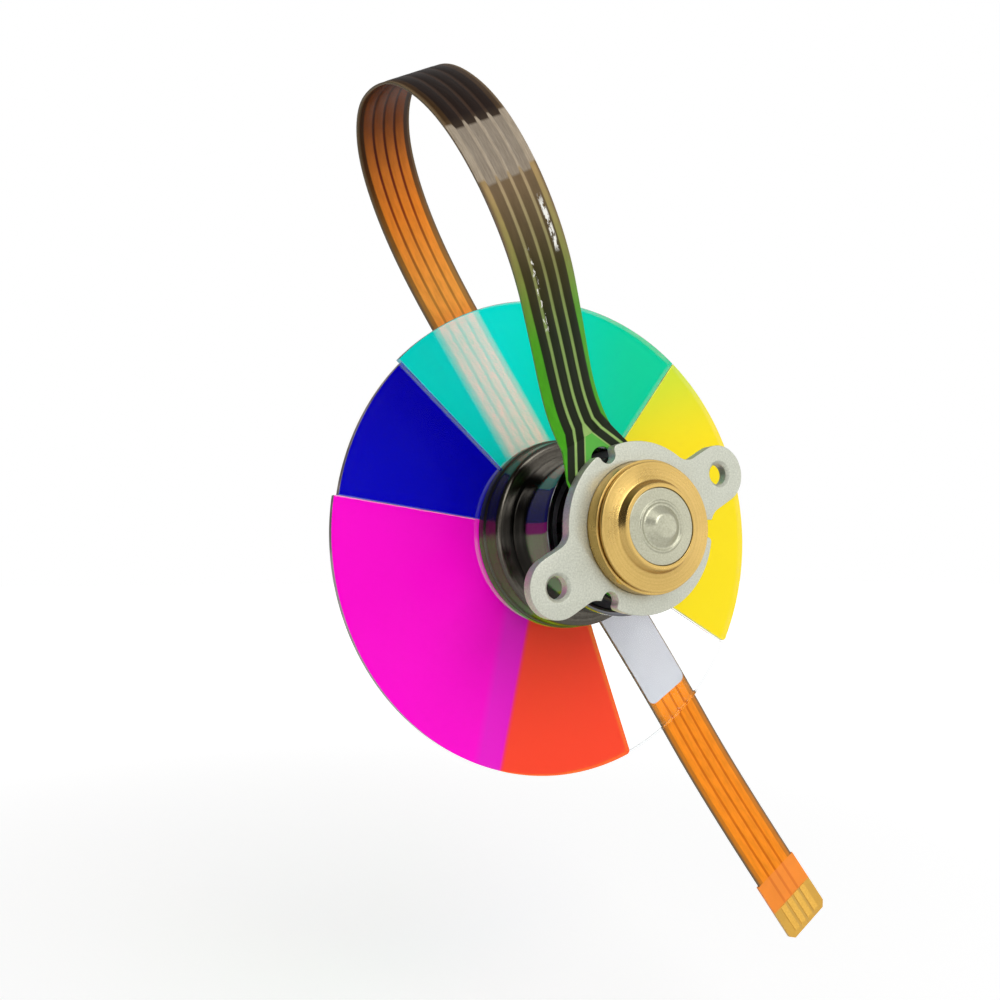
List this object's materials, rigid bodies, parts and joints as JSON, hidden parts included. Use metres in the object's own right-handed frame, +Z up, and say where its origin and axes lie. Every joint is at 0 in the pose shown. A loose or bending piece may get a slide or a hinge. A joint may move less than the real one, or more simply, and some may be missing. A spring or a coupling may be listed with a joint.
{
  "type": "projector colour wheel",
  "caption": "Segmented dichroic glass wheel on an outer-rotor motor with a brass bearing housing, an eared mounting bracket and a looped flat flex cable.",
  "frame": {"origin": "middle of the two ear holes, on the back face of the mounting bracket", "axes": "+Y along the spin axis, from the bracket to the glass wheel; +Z up as pictured"},
  "size_m": [0.0515, 0.0207, 0.0758],
  "materials": {
    "bracket_steel": "fine-grained, satin",
    "housing_brass": "turned, satin",
    "bearing_bronze": "sintered, oiled",
    "pad_polymer": "matt",
    "cap_steel": "pressed, matt",
    "core_steel": "stacked laminations",
    "liner_black": "moulded, matt",
    "winding_copper": "enamelled wire",
    "flex_film": "polyimide film over copper traces",
    "solder": "bright",
    "contact_plating": "plated",
    "cup_steel": "polished",
    "magnet_dark": "bonded powder",
    "shaft_steel": "ground",
    "hub_aluminium": "turned, satin",
    "glass_yellow": "dichroic coating",
    "glass_cyan": "dichroic coating",
    "glass_blue": "dichroic coating",
    "glass_magenta_red": "dichroic coating",
    "glass_clear": "antireflection coating"
  },
  "bodies": {
    "stator": {"mounting_bracket": "bracket_steel", "bearing_housing": "housing_brass", "sleeve_bearing": "bearing_bronze", "thrust_pad": "pad_polymer", "end_cap": "cap_steel", "stator_core": "core_steel", "slot_liner_front": "liner_black", "slot_liner_rear": "liner_black", "coils_phase_u": "winding_copper", "coils_phase_v": "winding_copper", "coils_phase_w": "winding_copper", "flex_base": "flex_film", "solder_joints": "solder", "flex_cable": "flex_film", "contact_tip": "flex_film", "contact_pads": "contact_plating"},
    "rotor": {"rotor_cup": "cup_steel", "magnet_ring": "magnet_dark", "rotor_shaft": "shaft_steel", "retaining_washer": "shaft_steel", "wheel_hub": "hub_aluminium", "front_ring": "hub_aluminium", "segment_yellow": "glass_yellow", "segment_cyan": "glass_cyan", "segment_blue": "glass_blue", "segment_magenta_red": "glass_magenta_red", "segment_clear": "glass_clear"}
  },
  "joints": [
    {"name": "rotor_spin", "type": "hinge", "parent": "stator", "child": "rotor", "pos_m": [0, 0, 0], "axis": [0, 1, 0], "continuous": true}
  ]
}
